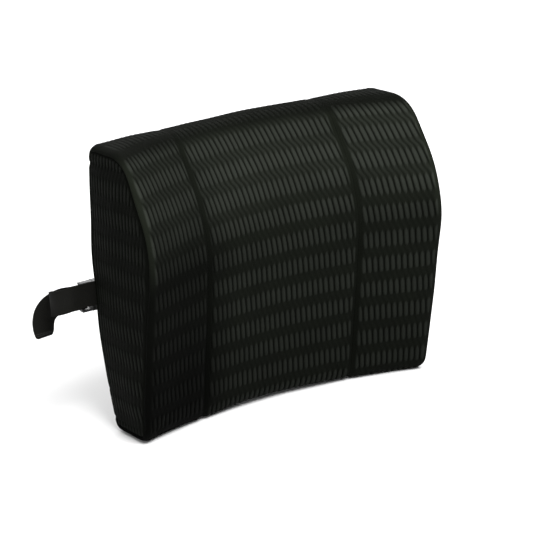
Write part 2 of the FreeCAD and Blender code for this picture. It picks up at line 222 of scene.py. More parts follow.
def mixColor(wire, share, low, high):
    return wire.add("ShaderNodeMix", {"data_type": "RGBA"}, {0: share, 6: low, 7: high}, 2)


def tinted(wire, color, brightness):  # a colour scaled by a value
    vector = wire.add("ShaderNodeCombineXYZ", {}, {0: brightness, 1: brightness, 2: brightness})
    return wire.add("ShaderNodeVectorMath", {"operation": "MULTIPLY"}, {0: vector, 1: color})


def bumped(wire, height, distance, shader):
    bump = wire.add("ShaderNodeBump", {}, {"Height": height, "Distance": distance, "Strength": 1.0})
    plug(bump, shader, "Normal")


fabricLook = {
    "band": (0.0034, 0.0041, 0.0028),      # plain knit between the rows of cells
    "cell": (0.0115, 0.0130, 0.0106),      # the lens-shaped cells
    # the gap colour is painted shadow in the grooves between the cells
    "gap": (0.0008, 0.0010, 0.0007),       # the dark line between two cells
    "roughness": 0.80, "gloss": 0.03, "knitPitch": 0.0011, "knitSquash": 0.8, "knitRelief": 0.00022,
    "blotchScale": 26.0, "shadeFloor": 0.52, "shadeByKnit": 0.35, "shadeByBlotch": 0.65,
}


def fabricMaterial(name, brightness):
    look = fabricLook
    material, wire, shader = newMaterial(name, Specular_IOR_Level=look["gloss"])
    u, v, _ = attribute(wire, "cloth", "Vector").split()
    rib = attribute(wire, "rib")
    gap = attribute(wire, "gap")
    paintedLight = attribute(wire, "paintedLight")
    turn = 2 * math.pi / look["knitPitch"]
    across = (u * turn).maths("SINE")
    along = (v * turn * look["knitSquash"]).maths("SINE")
    knit = across * along * 0.5 + 0.5
    blotch = noise(wire, objectPoint(wire), look["blotchScale"])
    shade = look["shadeFloor"] + knit * look["shadeByKnit"] + blotch * look["shadeByBlotch"]
    # painted light: the colour is scaled up where a highlight is painted and down where shade is painted
    shade = shade * (1.0 + paintedLight) * brightness
    plain = mixColor(wire, rib, (*look["band"], 1), (*look["cell"], 1))
    colour = mixColor(wire, gap, plain, (*look["gap"], 1))
    plug(tinted(wire, colour, shade), shader, "Base Color")
    plug(look["roughness"] + blotch * 0.2 - rib * 0.12, shader, "Roughness")
    bumped(wire, knit, look["knitRelief"], shader)
    return material


webbingLook = {
    "dark": (0.0022, 0.0022, 0.0018), "light": (0.0080, 0.0080, 0.0068),
    "roughness": 0.60, "gloss": 0.07, "ribPitch": 0.0017, "relief": 0.0002,
    "leansPerMetre": 170.0, "leanDepth": 0.0034, "yarnRatio": 1.4, "fuzzScale": 900.0,
}


def webbingMaterial():
    # twill ribs that lean one way and then the other across the width
    look = webbingLook
    material, wire, shader = newMaterial("blackWebbing", Specular_IOR_Level=look["gloss"])
    across, along, edge = attribute(wire, "cloth", "Vector").split()
    turn = 2 * math.pi / look["ribPitch"]
    herring = (across * look["leansPerMetre"]).maths("PINGPONG", 1.0) * look["leanDepth"]
    rib = ((along + herring) * turn).maths("SINE") * 0.5 + 0.5
    yarn = (across * turn * look["yarnRatio"]).maths("SINE") * 0.5 + 0.5
    weave = rib * 0.65 + yarn * 0.35
    fuzz = noise(wire, objectPoint(wire), look["fuzzScale"])
    share = (weave * 0.8 + fuzz * 0.3 - 0.1).clamped()
    plug(mixColor(wire, share, (*look["dark"], 1), (*look["light"], 1)), shader, "Base Color")
    plug(look["roughness"] + fuzz * 0.15 + edge * 0.1, shader, "Roughness")
    bumped(wire, weave, look["relief"], shader)
    return material


plasticLook = {"broadScale": 60.0, "relief": 0.00004}


def plasticMaterial(name, colour, roughness, gloss, grain):
    # moulded plastic, paint or thread with a fine grain
    material, wire, shader = newMaterial(name, Specular_IOR_Level=gloss)
    place = objectPoint(wire)
    fine = noise(wire, place, grain)
    broad = noise(wire, place, plasticLook["broadScale"])
    plug(tinted(wire, colour, 0.8 + broad * 0.4), shader, "Base Color")
    plug(roughness - 0.06 + fine * 0.08 + broad * 0.06, shader, "Roughness")
    bumped(wire, fine, plasticLook["relief"], shader)
    return material


clothLook = {"gloss": 0.2, "roughness": 0.7, "blotchScale": 90.0}


def clothMaterial(name, colour, pitch, relief):
    # plain woven cloth on object coordinates
    material, wire, shader = newMaterial(name, Specular_IOR_Level=clothLook["gloss"])
    place = objectPoint(wire)
    x, _, z = place.split()
    turn = 2 * math.pi / pitch
    weave = (x * turn).maths("SINE") * (z * turn).maths("SINE") * 0.5 + 0.5
    blotch = noise(wire, place, clothLook["blotchScale"])
    plug(tinted(wire, colour, 0.7 + weave * 0.35 + blotch * 0.25), shader, "Base Color")
    plug(clothLook["roughness"] + blotch * 0.2, shader, "Roughness")
    bumped(wire, weave, relief, shader)
    return material


foamLook = {"colour": (0.82, 0.78, 0.66), "gloss": 0.2, "roughness": 0.85, "poreScale": 700.0,
            "poreDepth": 0.0004}


def foamMaterial():
    look = foamLook
    material, wire, shader = newMaterial("memoryFoam", Specular_IOR_Level=look["gloss"])
    place = objectPoint(wire)
    pores = wire.add("ShaderNodeTexVoronoi", {}, {"Vector": place, "Scale": look["poreScale"]}, "Distance")
    plug(tinted(wire, look["colour"], 0.75 + pores * 0.4), shader, "Base Color")
    plug(look["roughness"] + pores * 0.1, shader, "Roughness")
    bumped(wire, pores, look["poreDepth"], shader)
    return material


materials = {
    "front": fabricMaterial("frontMesh", 1.0),
    # the side panels take the same fabric at 0.48 of its brightness: painted shade on the sides
    "side": fabricMaterial("sideMesh", 0.48),
    "back": fabricMaterial("backMesh", 1.0),
    "webbing": webbingMaterial(),
    "buckle": plasticMaterial("satinAcetal", (0.016, 0.016, 0.0165), 0.42, 0.45, 2200.0),
    "tape": clothMaterial("zipTapeCloth", (0.014, 0.014, 0.015), 0.0008, 0.00012),
    "coil": plasticMaterial("nylonCoil", (0.020, 0.020, 0.021), 0.35, 0.45, 3000.0),
    "metal": plasticMaterial("paintedZinc", (0.022, 0.022, 0.023), 0.30, 0.60, 2600.0),
    "label": clothMaterial("satinLabel", (0.55, 0.55, 0.53), 0.0006, 0.00005),
    "thread": plasticMaterial("blackThread", (0.018, 0.018, 0.017), 0.55, 0.30, 4000.0),
    "liner": clothMaterial("linerKnit", (0.80, 0.80, 0.77), 0.0012, 0.00015),
    "foam": foamMaterial(),
}
print("materials made")


# cushion form

leftEnd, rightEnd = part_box("cover_side_left")[0].x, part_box("cover_side_right")[1].x
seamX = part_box("cover_front_center")[1].x
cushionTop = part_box("cover_front_center")[1].z

cushionForm = {
    "halfWidth": (rightEnd - leftEnd) / 2, "height": cushionTop, "seamX": seamX,
    "frontPlane": 0.011,                    # depths are measured forward from this plane
    "toeDepth": 0.073, "bellyDepth": 0.129, "bellyHeight": 0.212, "crownDepth": 0.075,
    "baseHollow": 0.034, "bellyHollow": 0.046, "crownHollow": 0.050,
    "rearRadius": 0.970, "rearApex": 0.028, "rearBelly": 0.009, "zipHeight": 0.046,
    "heelRound": 0.016, "toeRound": 0.016, "bellyRound": 0.060, "crownRound": 0.028, "napeRound": 0.016,
    "edgeRun": 0.009, "edgeDrop": 0.006, "sideBulge": 0.0045, "capDome": 0.003, "twist": 0.003,
    "heelSeam": 0.014, "napeSeam": 0.018,   # how far the rear seams are from the base and the top
}


def rearPlace(x, z):
    # the rear wall's y: an arc in plan with a slight crown up its height
    form = cushionForm
    rise = 1 - (2 * z / form["height"] - 1) ** 2
    zipRise = 1 - (2 * form["zipHeight"] / form["height"] - 1) ** 2
    arc = form["rearApex"] - form["rearRadius"] + np.sqrt(form["rearRadius"] ** 2 - x * x)
    return arc + form["rearBelly"] * (rise - zipRise)


def roundedOutline(corners, rounds, perSide):
    # a closed outline in (depth, height) with curved corners, evenly spaced between corner middles
    bendSteps, reachShare = 14, 0.48
    corners = np.array(corners, float)
    count = len(corners)
    ahead = np.roll(corners, -1, 0) - corners
    lengths = np.linalg.norm(ahead, axis=1)
    shares = np.linspace(0, 1, bendSteps + 1)[:, None]
    parts, marks, total = [], [], 0
    for index in range(count):
        limit = reachShare * min(lengths[index - 1], lengths[index])
        reach = min(rounds[index], limit)
        start = corners[index] - ahead[index - 1] / lengths[index - 1] * reach
        end = corners[index] + ahead[index] / lengths[index] * reach
        bend = start * (1 - shares) ** 2 + 2 * corners[index] * shares * (1 - shares) + end * shares ** 2
        marks.append(total + bendSteps // 2)
        parts.append(bend)
        total += len(bend)
    line = np.concatenate(parts)
    line = np.roll(line, -marks[0], 0)
    marks = [mark - marks[0] for mark in marks]
    sides = [(marks[0], marks[1]), (marks[1], marks[3]), (marks[3], marks[4]), (marks[4], total)]
    line = np.concatenate([line, line[:1]])
    outline = []
    for (first, last), steps in zip(sides, perSide):
        run = line[first:last + 1]
        along = np.concatenate([[0], np.cumsum(np.linalg.norm(np.diff(run, axis=0), axis=1))])
        at = np.linspace(0, along[-1], steps + 1)[:-1]
        outline.append(np.stack([np.interp(at, along, run[:, k]) for k in range(2)], 1))
    return np.concatenate(outline)


def sectionAt(x, baseSteps, frontSteps):
    form = cushionForm
    share = 1 - (x / form["halfWidth"]) ** 2
    lean = form["twist"] * x / form["halfWidth"]
    toe = form["toeDepth"] - form["baseHollow"] * share + lean
    belly = form["bellyDepth"] - form["bellyHollow"] * share - lean
    crown = form["crownDepth"] - form["crownHollow"] * share
    corners = [(0, 0), (toe, 0), (belly, form["bellyHeight"]), (crown, form["height"]),
               (0, form["height"])]
    rounds = [form[key] for key in ("heelRound", "toeRound", "bellyRound", "crownRound", "napeRound")]
    outline = roundedOutline(corners, rounds, (baseSteps, frontSteps, baseSteps, frontSteps))
    depth, z = outline[:, 0], outline[:, 1]
    front = np.interp(z, (0, form["bellyHeight"], form["height"]), (toe, belly, crown))
    rearShare = np.clip(1 - depth / front, 0, 1)
    y = form["frontPlane"] - depth + rearShare * (rearPlace(x, z) - form["frontPlane"])
    return np.stack([np.full(len(y), x), y, z], 1)


def gridNormals(grid, closed=True):
    alongColumns = np.gradient(grid, axis=0)
    if closed:
        alongLoop = (np.roll(grid, -1, 1) - np.roll(grid, 1, 1)) / 2
    else:
        alongLoop = np.gradient(grid, axis=1)
    normals = np.cross(alongColumns, alongLoop)
    return normals / np.maximum(np.linalg.norm(normals, axis=2, keepdims=True), 1e-12)


def bellyLength(x):
    # how far along the hollow front a place is, from the middle
    form = cushionForm
    steps = np.linspace(0, 1, 60) * x
    slope = 2 * form["bellyHollow"] * steps / form["halfWidth"] ** 2
    return np.trapz(np.sqrt(1 + slope ** 2), steps)


def formColumns(spacing, edgeSteps):
    # columns across the width as (x, inward drop of the section, length along the cloth)
    form = cushionForm
    straight = form["halfWidth"] - form["edgeRun"]
    stops = [-straight, -form["seamX"], form["seamX"], straight]
    xs = [stops[0]]
    for low, high in zip(stops, stops[1:]):
        count = max(2, round((bellyLength(high) - bellyLength(low)) / spacing))
        xs += list(np.linspace(low, high, count + 1)[1:])
    columns = [(x, 0.0, bellyLength(x)) for x in xs]
    arc = (form["edgeRun"] + form["edgeDrop"]) / 2 * math.pi / 2
    edge = []
    for step in range(1, edgeSteps + 1):
        angle = math.pi / 2 * step / edgeSteps
        edge.append((straight + form["edgeRun"] * math.sin(angle), form["edgeDrop"] * (1 - math.cos(angle)),
                     bellyLength(straight) + arc * step / edgeSteps))
    return [(-x, drop, -length) for x, drop, length in edge[::-1]] + columns + edge


def formGrid(columns, baseSteps, frontSteps):
    form = cushionForm
    grid = np.array([sectionAt(x, baseSteps, frontSteps) for x, _, _ in columns])
    tangents = np.roll(grid, -1, 1) - np.roll(grid, 1, 1)
    outward = np.stack([np.zeros(tangents.shape[:2]), -tangents[:, :, 2], tangents[:, :, 1]], 2)
    outward /= np.linalg.norm(outward, axis=2, keepdims=True)
    drops = np.array([drop for _, drop, _ in columns])[:, None, None]
    grid = grid - outward * drops
    ends = np.abs(grid[:, :, 0] / form["halfWidth"]) ** 3
    rise = 1 - (2 * grid[:, :, 2] / form["height"] - 1) ** 2
    grid[:, :, 0] += np.sign(grid[:, :, 0]) * form["sideBulge"] * ends * rise
    return grid


def capGrid(ring, baseSteps, frontSteps, across, up, sign):
    # a panel that fills an end ring: across runs rear to front, up runs base to top
    marks = np.cumsum([0, baseSteps, frontSteps, baseSteps, frontSteps])
    closed = np.concatenate([ring, ring[:1]])

    def side(first, last, count):
        run = closed[first:last + 1]
        at = np.linspace(0, len(run) - 1, count)
        return np.stack([np.interp(at, np.arange(len(run)), run[:, k]) for k in range(3)], 1)

    base = side(marks[0], marks[1], across)
    front = side(marks[1], marks[2], up)
    top = side(marks[2], marks[3], across)[::-1]
    rear = side(marks[3], marks[4], up)[::-1]
    s = np.linspace(0, 1, across)[:, None, None]
    t = np.linspace(0, 1, up)[None, :, None]
    grid = (base[:, None] * (1 - t) + top[:, None] * t + rear[None] * (1 - s) + front[None] * s
            - base[0] * (1 - s) * (1 - t) - base[-1] * s * (1 - t) - top[0] * (1 - s) * t
            - top[-1] * s * t)
    dome = (16 * s * (1 - s) * t * (1 - t)) ** 0.5
    grid[:, :, 0:1] += sign * cushionForm["capDome"] * dome
    return grid


# how the stuffed cover swells, found by cloth simulation

swelling = {
    "spacing": 0.009, "baseSteps": 9, "frontSteps": 36, "edgeSteps": 2,
    "pressure": 4.0, "stiffness": 30, "frames": 20, "cap": 0.0045, "quickCrown": 0.0022,
}


def closedForm(name, columns, baseSteps, frontSteps, inset):
    # the whole cushion as one closed mesh; returns the piece and its grids of vertex numbers
    grid = formGrid(columns, baseSteps, frontSteps)
    grid = grid - gridNormals(grid) * inset
    count, loop = grid.shape[:2]
    points = list(grid.reshape(-1, 3))
    sleeve = np.arange(count * loop).reshape(count, loop)
    faces = gridFaces(np.hstack([sleeve, sleeve[:, :1]]))
    caps = []
    for column, sign in ((0, -1), (count - 1, 1)):
        cap = capGrid(grid[column], baseSteps, frontSteps, baseSteps + 1, frontSteps + 1, sign)
        numbers = np.zeros((baseSteps + 1, frontSteps + 1), int)
        for s in range(baseSteps + 1):
            for t in range(frontSteps + 1):
                if t == 0:
                    numbers[s, t] = sleeve[column, s]
                elif s == baseSteps:
                    numbers[s, t] = sleeve[column, baseSteps + t]
                elif t == frontSteps:
                    numbers[s, t] = sleeve[column, baseSteps + frontSteps + (baseSteps - s)]
                elif s == 0:
                    numbers[s, t] = sleeve[column, 2 * baseSteps + frontSteps + (frontSteps - t)]
                else:
                    numbers[s, t] = len(points)
                    points.append(cap[s, t])
        capFaces = gridFaces(numbers)
        faces += capFaces if sign < 0 else [face[::-1] for face in capFaces]
        caps.append(numbers)
    return newPiece(name, points, faces), sleeve, caps


def simulatedSwelling():
    # how far each point of a coarse cushion moves when it is blown up between its pinned seams,
    # eased so that no move reaches the cap
    setup = swelling
    columns = formColumns(setup["spacing"], setup["edgeSteps"])
    piece, sleeve, caps = closedForm("swellingCushion", columns, setup["baseSteps"], setup["frontSteps"], 0)
    start = np.array([v.co for v in piece.data.vertices])
    xs = np.array([x for x, _, _ in columns])
    pinned = [np.abs(xs - sign * cushionForm["seamX"]).argmin() for sign in (-1, 1)]
    pins = np.unique(sleeve[pinned + [0, len(columns) - 1]].ravel())
    group = piece.vertex_groups.new(name="seams")
    group.add([int(i) for i in pins], 1.0, "REPLACE")
    cloth = piece.modifiers.new("stuffing", "CLOTH")
    cloth.settings.use_pressure = True
    cloth.settings.uniform_pressure_force = setup["pressure"]
    cloth.settings.vertex_group_mass = "seams"
    cloth.settings.tension_stiffness = cloth.settings.compression_stiffness = setup["stiffness"]
    cloth.settings.effector_weights.gravity = 0
    cloth.point_cache.frame_start, cloth.point_cache.frame_end = 1, setup["frames"]
    for number in range(1, setup["frames"] + 1):
        bpy.context.scene.frame_set(number)
    graph = bpy.context.evaluated_depsgraph_get()
    swollen = np.array([v.co for v in piece.evaluated_get(graph).data.vertices])
    bpy.context.scene.frame_set(1)
    bpy.data.objects.remove(piece)
    move = swollen - start
    size = np.linalg.norm(move, axis=1, keepdims=True)
    print(f"swelling: {size.mean() * 1000:.1f} mm on average, {size.max() * 1000:.1f} mm at most")
    move = move * setup["cap"] / (setup["cap"] + size)
    return columns, move[sleeve], [move[cap] for cap in caps]


swellColumns, sleeveSwell, capSwell = simulatedSwelling()
print("swelling found")


def resampled(field, rows, columns):
    # a coarse field at fractional places, closed along its second axis where columns run past it
    low = np.clip(np.floor(rows).astype(int), 0, field.shape[0] - 2)
    left = np.floor(columns).astype(int)
    a, b = (rows - low)[:, None, None], (columns - left)[None, :, None]
    first, second = left % field.shape[1], (left + 1) % field.shape[1]
    return ((field[low][:, first] * (1 - b) + field[low][:, second] * b) * (1 - a)
            + (field[low + 1][:, first] * (1 - b) + field[low + 1][:, second] * b) * a)


# cover panels

cover = {
    "cellPitch": 0.0062, "columnsPerCell": 8, "edgeSteps": 16, "baseSteps": 44, "frontSteps": 176,
    "skin": 0.0024, "seamDip": 0.0018, "seamWidth": 0.0034, "slitDip": 0.0012,
    "endDip": 0.7, "rearDip": 0.6, "fineSeam": 0.7,      # shares of a column seam's dip and width
    "baseLift": 0.0009, "baseRound": 0.0012, "margin": 0.0090, "columnMargin": 0.0042,
    "creaseDepth": 0.0007, "capAcross": 120, "capUp": 176, "innerStep": 8,
}
creaseWaves = [  # a weight, then two crossed waves as (radians per metre across, per metre along, phase)
    (1.0, (41, 23, 0.7), (-11, 37, 1.9)),
    (0.6, (83, -29, 2.3), (17, 61, 0.0)),
]
# painted light and shade on the front cloth: painted highlight over the upper front, the upper right and
# the bare edges by the seams, painted shade on the top, low down and to the left
clothPaintedLight = {  # change of the cloth's brightness by place
    "bareEdge": 0.8, "upper": 0.70, "upperRight": 0.15, "top": -0.25, "left": -0.62, "low": -0.22,
}
meshCells = {
    "Row pitch": 0.0285, "Cell share": 0.64, "Rib width": 0.80, "Rib rise": 0.00075,
    "Gap sink": 0.0010, "Lean": 0.10, "Row shift": 0.5, "Band rise": 0.0006,
}


def cellTree():
    # raises rows of lens-shaped cells along the cloth, with a dark gap beside each
    tree, at = newTree("spacerMeshCells", {
        "Cell pitch": cover["cellPitch"], **meshCells, "Row start": 0.0, "Material": None})
    cloth = at["Geometry"].add("GeometryNodeInputNamedAttribute", {"data_type": "FLOAT_VECTOR"},
                               {"Name": "cloth"})
    flow = at["Geometry"].add("GeometryNodeInputNamedAttribute", {"data_type": "FLOAT"},
                              {"Name": "flow"})
    u, v, mask = cloth.split()
    rows = v / at["Row pitch"] + at["Row start"]
    row = rows.maths("FLOOR")
    place = rows - row - 0.5
    half = at["Cell share"] * 0.5
    away = place.maths("ABSOLUTE")
    inBand = (away - half).maths("MAXIMUM", 0.0) / (1.0 - at["Cell share"])
    shift = (row + inBand * inBand * 2.0 * place.maths("SIGN")) * at["Row shift"]
    phase = u / at["Cell pitch"] + v * at["Lean"] / at["Cell pitch"] + shift
    offRidge = (phase.maths("FRACT") - 0.5).maths("ABSOLUTE") * 2.0
    along = (away / half).maths("MINIMUM", 1.0)
    width = at["Rib width"] * (1.0 - along ** 3.0).maths("SQRT") + 0.0001
    rib = (1.0 - (offRidge / width) ** 2.0).maths("MAXIMUM", 0.0).maths("SQRT")
    gap = offRidge.smooth(0.72, 0.97) * (1.0 - along ** 5.0) * (1.0 - flow * 0.55)
    strand = (1.0 - offRidge) * (1.0 - rib) * flow
    height = rib * at["Rib rise"] - gap * at["Gap sink"] + strand * at["Band rise"]
    normal = cloth.add("GeometryNodeInputNormal")
    offset = cloth.add("ShaderNodeVectorMath", {"operation": "SCALE"},
                       {0: normal, "Scale": height * mask})
    shape = cloth.add("GeometryNodeSetPosition", {}, {"Geometry": at["Geometry"], "Offset": offset})
    bright = (rib + strand * 0.6).clamped() * mask
    # dark: painted shadow in the grooves beside each cell and between the strands
    dark = (gap + offRidge.smooth(0.6, 1.0) * flow * 0.5).clamped() * mask
    for name, value in (("rib", bright), ("gap", dark)):
        shape = shape.add("GeometryNodeStoreNamedAttribute", {"data_type": "FLOAT", "domain": "POINT"},
                          {"Geometry": shape, "Name": name, "Value": value})
    return endTree(tree, shape, at["Material"])


cells = cellTree()
columns = formColumns(cover["cellPitch"] / cover["columnsPerCell"], cover["edgeSteps"])
lengths = np.array([length for _, _, length in columns])
columnX = np.array([x for x, _, _ in columns])
sleeve = formGrid(columns, cover["baseSteps"], cover["frontSteps"])
loopCount = sleeve.shape[1]
reference = sleeve[len(columns) // 5]
loopLength = np.concatenate([[0], np.cumsum(np.linalg.norm(np.diff(reference, axis=0), axis=1))])

rows = np.interp(lengths, [length for _, _, length in swellColumns], np.arange(len(swellColumns)))
around = np.arange(loopCount) * sleeveSwell.shape[1] / loopCount
sleeve = sleeve + resampled(sleeveSwell, rows, around)


def creases(u, v):
    # slack cloth: slow waves, stronger towards the left end
    slack = 0.6 + 0.5 * smoothStep(-u, 0.02, 0.16)
    waves = sum(weight * np.sin(u * a + v * b + c) * np.sin(u * d + v * e + f)
                for weight, (a, b, c), (d, e, f) in creaseWaves)
    return cover["creaseDepth"] * slack * waves


seamLengths = [bellyLength(sign * cushionForm["seamX"]) for sign in (-1, 1)]


def rearLoop(x, height):
    # where on the loop a column's rear wall is at a height, as a fractional place
    index = np.abs(columnX - x).argmin()
    first = 2 * cover["baseSteps"] + cover["frontSteps"]
    wall = sleeve[index, first:, 2]
    return first + np.interp(-height, -wall, np.arange(len(wall)))


middleColumn = 0.0
napeLoop = rearLoop(middleColumn, cushionForm["height"] - cushionForm["napeSeam"])
heelLoop = rearLoop(middleColumn, cushionForm["heelSeam"])


def dippedSleeve():
    # seams drawn in, and the cloth's slow waves
    normals = gridNormals(sleeve)
    u = lengths[:, None]
    t = np.arange(loopCount)[None, :]
    v = loopLength[None, :]
    dip = np.zeros(sleeve.shape[:2])
    wide, fine = cover["seamWidth"], cover["seamWidth"] * cover["fineSeam"]
    crest = 1 - 0.75 * smoothStep(sleeve[:, :, 2], 0.27, 0.295)
    for place in seamLengths:
        dip += cover["seamDip"] * crest * np.exp(-((u - place) / wide) ** 2)
    for place in (lengths[0], lengths[-1]):
        dip += cover["seamDip"] * cover["endDip"] * np.exp(-((u - place) / fine) ** 2)
    step = loopLength[-1] / loopCount
    for place in (napeLoop, heelLoop):
        dip += cover["seamDip"] * cover["rearDip"] * np.exp(-((t - place) * step / fine) ** 2)
    return sleeve + normals * (creases(u, v) - dip)[:, :, None]


sleeve = dippedSleeve()
above = sleeve[:, :, 2] - cover["baseLift"]  # the underside is levelled just above the floor
sleeve[:, :, 2] = cover["baseLift"] + (above + np.sqrt(above ** 2 + cover["baseRound"] ** 2)) / 2


def loopAt(column, places):
    # points of one column at fractional places round the loop
    low = np.floor(places).astype(int)
    share = (places - low)[:, None]
    return sleeve[column, low % loopCount] * (1 - share) + sleeve[column, (low + 1) % loopCount] * share


def shellPanel(name, grid, clothData, flow, paintedLight):
    # a closed panel: the outer face in full, a coarser inner face and a rim
    count, loop = grid.shape[:2]
    normals = gridNormals(grid, closed=False)
    step = cover["innerStep"]
    picks = [sorted(set(list(range(0, size, step)) + [size - 1])) for size in (count, loop)]
    inner = (grid - normals * cover["skin"])[np.ix_(*picks)]
    outerIds = np.arange(count * loop).reshape(count, loop)
    innerIds = count * loop + np.arange(inner.shape[0] * inner.shape[1]).reshape(inner.shape[:2])
    faces = gridFaces(outerIds) + gridFaces(innerIds, turned=True)
    rims = (
        (outerIds[:, 0], innerIds[:, 0], picks[0], False),
        (outerIds[:, -1], innerIds[:, -1], picks[0], True),
        (outerIds[0], innerIds[0], picks[1], True),
        (outerIds[-1], innerIds[-1], picks[1], False),
    )
    for outer, under, picked, forward in rims:
        for index, (low, high) in enumerate(zip(picked, picked[1:])):
            ring = [int(i) for i in outer[low:high + 1]] + [int(under[index + 1]), int(under[index])]
            faces.append(tuple(ring if forward else ring[::-1]))
    piece = newPiece(name, np.concatenate([grid.reshape(-1, 3), inner.reshape(-1, 3)]), faces)
    spare = inner.shape[0] * inner.shape[1]
    setAttribute(piece, "cloth", np.concatenate([clothData.reshape(-1, 3), np.zeros((spare, 3))]))
    setAttribute(piece, "flow", np.concatenate([flow.ravel(), np.zeros(spare)]))
    # the painted light and shade of each point of the outer face
    setAttribute(piece, "paintedLight", np.concatenate([paintedLight.ravel(), np.zeros(spare)]))
    return piece


def clothMask(u, v, edges):
    # 1 where the cells are, 0 in the plain margins; edges are (distance, margin) pairs
    mask = np.ones(np.broadcast(u, v).shape)
    for distance, margin in edges:
        mask = mask * smoothStep(np.abs(distance), margin - 0.0012, margin + 0.0012)
    return mask


def sleevePanel(name, low, high, replaced, rowStart):
    # a front column: from the heel seam under the base, up the front and over the top to the nape seam
    picks = range(low, high + 1)
    first = heelLoop - loopCount
    places = np.concatenate([[first], np.arange(math.ceil(first + 0.3), math.floor(napeLoop - 0.3) + 1),
                             [napeLoop]])
    grid = np.array([loopAt(column, places) for column in picks])
    u = lengths[list(picks)][:, None] * np.ones(len(places))
    v = np.interp(places, np.arange(loopCount), loopLength)
    v = np.where(places < 0, loopLength[0] + places * 0.0018, v)[None, :] * np.ones((len(grid), 1))
    z = grid[:, :, 2]
    edges = [(u - u[0, 0], cover["margin"] if low == 0 else cover["columnMargin"]),
             (u - u[-1, 0], cover["margin"] if high == len(columns) - 1 else cover["columnMargin"])]
    mask = clothMask(u, v, edges)
    top = smoothStep(z, 0.286, 0.297)
    mask = mask * (1 - 0.6 * top)
    flow = 0.25 + 0.75 * smoothStep(z + np.clip(-u, 0, 1) * 0.2, 0.205, 0.245) * (1 - top)
    endGap = np.minimum(u - lengths[0], lengths[-1] - u)
    upper = smoothStep(z, 0.17, 0.26) * (1 - top)
    # painted highlight over the upper front and the bare edges, painted shade on the top, low down and to
    # the left
    edge = smoothStep(-endGap, -0.0125, -0.0085) * smoothStep(z, 0.16, 0.20) * (1 - top)
    left = smoothStep(-u, 0.04, 0.11) * (1 - 0.45 * upper) * (1 - top)
    paintedLight = (clothPaintedLight["bareEdge"] * edge + clothPaintedLight["top"] * top + clothPaintedLight["left"] * left
            + (clothPaintedLight["upper"] + clothPaintedLight["upperRight"] * smoothStep(u, 0.06, 0.12)) * upper
            + clothPaintedLight["low"] * (1 - smoothStep(z, 0.04, 0.15)))
    data = np.stack([u, v, mask], 2)
    piece = shellPanel(name, grid, data, flow, paintedLight)
    runTree(piece, cells, {"Material": materials["front"], "Row start": rowStart})
    settle(piece, "cushion", replaced)
    print(f"{name}: {len(piece.data.polygons)} faces")


seamColumns = [int(np.abs(lengths - place).argmin()) for place in seamLengths]
sleevePanel("coverFrontLeft", 0, seamColumns[0], ["cover_front_left"], 0.0)
sleevePanel("coverFrontCenter", seamColumns[0], seamColumns[1], ["cover_front_center"], 0.5)
sleevePanel("coverFrontRight", seamColumns[1], len(columns) - 1, ["cover_front_right"], 0.0)


def sidePanel(name, column, sign, swell, replaced):
    grid = capGrid(sleeve[column], cover["baseSteps"], cover["frontSteps"], cover["capAcross"],
                   cover["capUp"], sign)
    rows = np.linspace(0, swell.shape[0] - 1, cover["capAcross"])
    ups = np.linspace(0, swell.shape[1] - 1.001, cover["capUp"])
    grid = grid + resampled(swell, rows, ups) * np.array([1, 0.3, 0.3])
    across = np.linspace(0, 1, cover["capAcross"])[:, None] * np.ones(cover["capUp"])
    up = np.ones((cover["capAcross"], 1)) * np.linspace(0, 1, cover["capUp"])
    inside = np.minimum(np.minimum(across, 1 - across) * 0.09, np.minimum(up, 1 - up) * 0.30)
    y, z = grid[:, :, 1], grid[:, :, 2]
    grid[:, :, 0] += sign * (creases(y * 1.6, z) * smoothStep(inside, 0, 0.02)
                             - 0.0012 * np.exp(-(inside / 0.003) ** 2))
    data = np.stack([-y * sign, z, smoothStep(inside, 0.003, 0.006)], 2)
    if sign > 0:
        grid, data = grid[::-1], data[::-1]
    flow = np.full(y.shape, 0.5)
    piece = shellPanel(name, grid, data, flow, flow * 0)
    runTree(piece, cells, {"Material": materials["side"], "Row start": 0.3, "Lean": 0.0,
                           "Gap sink": 0.0012})
    settle(piece, "cushion", replaced)
    print(f"{name}: {len(piece.data.polygons)} faces")


sidePanel("coverSideLeft", 0, -1, capSwell[0], ["cover_side_left"])
sidePanel("coverSideRight", len(columns) - 1, 1, capSwell[1], ["cover_side_right"])


# back panels and zip

zipForm = {
    "height": cushionForm["zipHeight"], "slitHalf": 0.0065, "slitEnd": 0.1345, "slitTaper": 0.004,
    "radius": 0.970, "axisY": -0.942, "halfAngle": math.radians(7.75),
    "toothPitch": 0.0016, "toothSize": (0.0011, 0.0015, 0.0024), "toothSunk": 0.00135,
    "toothAside": 0.00125, "coreSunk": 0.0016, "coreAside": 0.0019, "coreHalf": 0.0006,
    "tapeSunk": 0.0012, "tapeThick": 0.0009, "tapeAside": 0.0046, "tapeHalf": 0.0032,
    "stitchRows": (0.0094, 0.0116),         # two rows of topstitching beside the slit
}


def slitEdge(x, side):
    # height of a back panel's edge at the zip: apart along the slit, together past its ends
    spread = 1 - smoothStep(np.abs(x), zipForm["slitEnd"], zipForm["slitEnd"] + zipForm["slitTaper"])
    return zipForm["height"] + side * (0.0002 + zipForm["slitHalf"] * spread)


